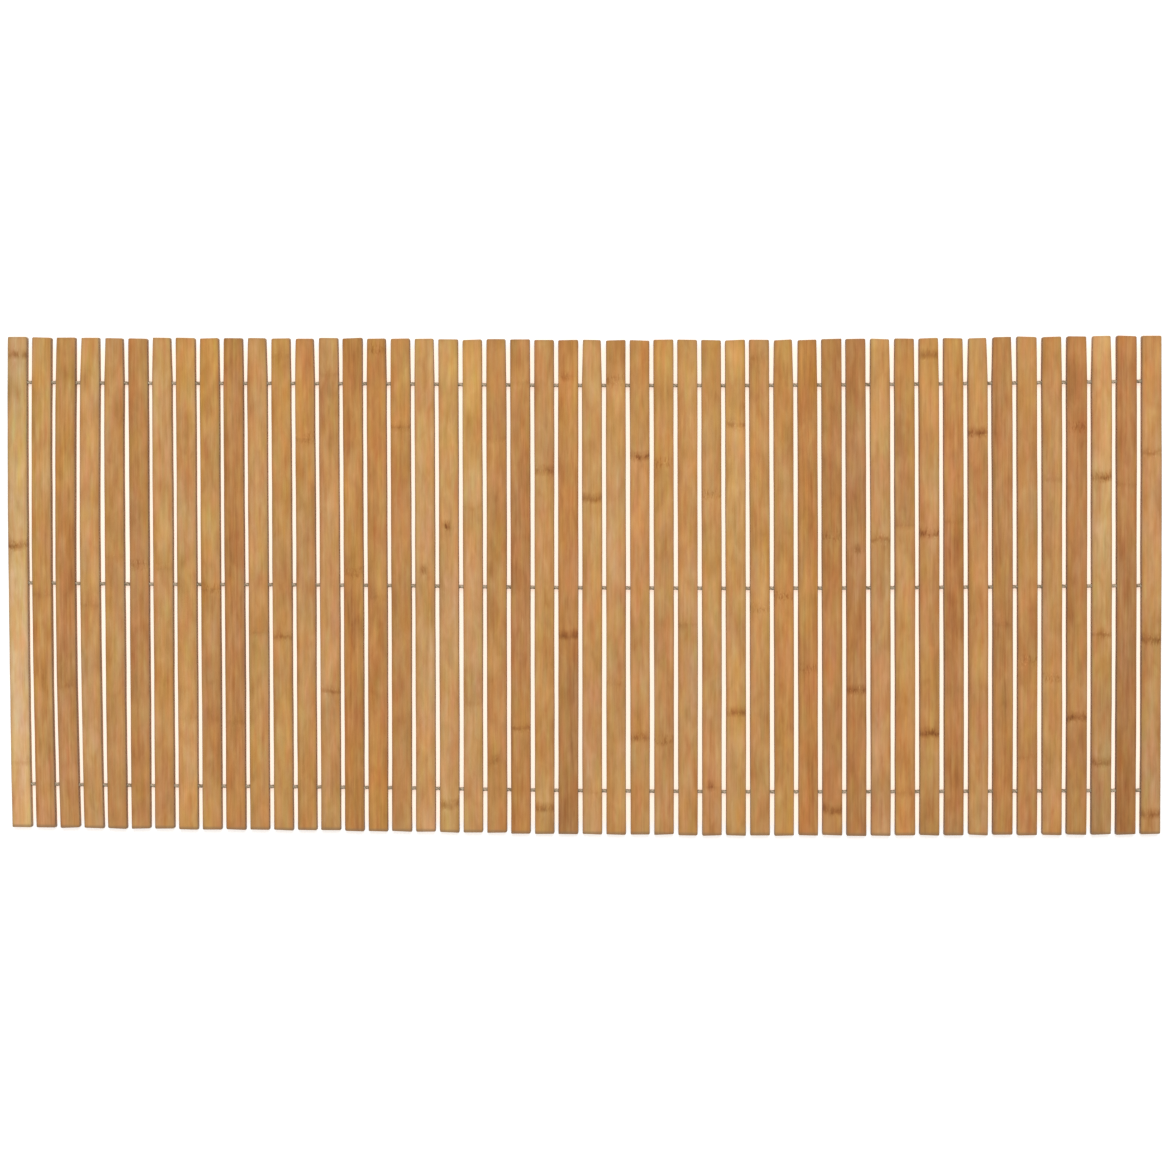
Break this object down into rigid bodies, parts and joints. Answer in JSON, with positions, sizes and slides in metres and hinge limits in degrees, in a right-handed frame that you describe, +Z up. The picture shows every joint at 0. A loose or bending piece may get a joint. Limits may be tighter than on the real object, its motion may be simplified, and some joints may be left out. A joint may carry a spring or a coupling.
{
  "type": "bamboo slat mat",
  "caption": "Flat oblong floor mat of narrow bamboo slats laid side by side, cross-drilled and threaded on thin cords.",
  "frame": {"origin": "middle of the mat's underside, at the bottom centre of its bounding box", "axes": "+X along the cords, the mat's long way; +Y along the slats; +Z up out of the mat's face"},
  "size_m": [1.1671, 0.506, 0.007],
  "materials": {
    "bamboo": "smooth, lightly oiled bamboo strip with nodes",
    "cord": "matt twisted natural fibre cord"
  },
  "bodies": {
    "root": {"slat_01": "bamboo", "slat_02": "bamboo", "slat_03": "bamboo", "slat_04": "bamboo", "slat_05": "bamboo", "slat_06": "bamboo", "slat_07": "bamboo", "slat_08": "bamboo", "slat_09": "bamboo", "slat_10": "bamboo", "slat_11": "bamboo", "slat_12": "bamboo", "slat_13": "bamboo", "slat_14": "bamboo", "slat_15": "bamboo", "slat_16": "bamboo", "slat_17": "bamboo", "slat_18": "bamboo", "slat_19": "bamboo", "slat_20": "bamboo", "slat_21": "bamboo", "slat_22": "bamboo", "slat_23": "bamboo", "slat_24": "bamboo", "slat_25": "bamboo", "slat_26": "bamboo", "slat_27": "bamboo", "slat_28": "bamboo", "slat_29": "bamboo", "slat_30": "bamboo", "slat_31": "bamboo", "slat_32": "bamboo", "slat_33": "bamboo", "slat_34": "bamboo", "slat_35": "bamboo", "slat_36": "bamboo", "slat_37": "bamboo", "slat_38": "bamboo", "slat_39": "bamboo", "slat_40": "bamboo", "slat_41": "bamboo", "slat_42": "bamboo", "slat_43": "bamboo", "slat_44": "bamboo", "slat_45": "bamboo", "slat_46": "bamboo", "slat_47": "bamboo", "slat_48": "bamboo", "cord_back": "cord", "cord_middle": "cord", "cord_front": "cord"}
  },
  "joints": []
}
